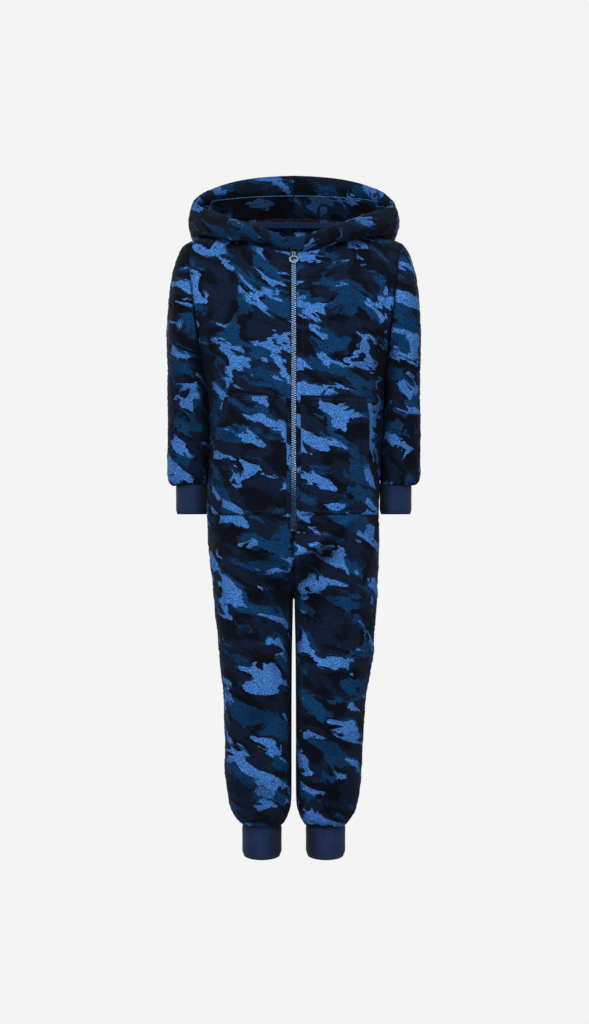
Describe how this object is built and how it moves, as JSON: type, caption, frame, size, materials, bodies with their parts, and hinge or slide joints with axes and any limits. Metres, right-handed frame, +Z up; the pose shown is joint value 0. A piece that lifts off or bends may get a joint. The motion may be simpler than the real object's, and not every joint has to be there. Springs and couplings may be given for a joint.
{
  "type": "onesie pajama",
  "caption": "Child's hooded fleece onesie pajama with a front zip, patch pockets, long sleeves and ribbed cuffs, filled out as worn and hollow.",
  "frame": {"origin": "middle of the neck at the height of the shoulder points, where the wearer's shoulders hold the garment", "axes": "+Z up towards the hood, -Y the front with the zip, +X the wearer's left"},
  "size_m": [0.336, 0.2234, 0.9269],
  "materials": {
    "fleece": "short nubby coral fleece, blue camouflage on near-black navy",
    "hood_lining": "the same fleece, seen inside the hood",
    "rib_knit": "fine ribbed knit, navy",
    "teal_jersey": "matte teal-blue jersey",
    "zip_tape": "woven zip tape, dark blue",
    "zip_metal": "bright satin metal",
    "pull_metal": "gunmetal"
  },
  "bodies": {
    "garment": {"front_right": "fleece", "front_left": "fleece", "back_right": "fleece", "back_left": "fleece", "sleeve_right": "fleece", "sleeve_left": "fleece", "hood_right": "fleece", "hood_left": "fleece", "hood_lining_right": "hood_lining", "hood_lining_left": "hood_lining", "pocket_right": "fleece", "pocket_left": "fleece", "wrist_cuff_right": "rib_knit", "wrist_cuff_left": "rib_knit", "ankle_cuff_right": "rib_knit", "ankle_cuff_left": "rib_knit", "neck_tape": "teal_jersey", "chin_guard": "teal_jersey", "zip_tape_right": "zip_tape", "zip_tape_left": "zip_tape", "zip_chain": "zip_metal", "zip_slider": "pull_metal", "slider_bridge": "pull_metal"},
    "pull": {"zip_pull": "pull_metal"}
  },
  "joints": [
    {"name": "pull_swing", "type": "hinge", "parent": "garment", "child": "pull", "pos_m": [0, -0.06694, -0.0275], "axis": [-1, 0, 0], "range_deg": [0, 95]}
  ]
}
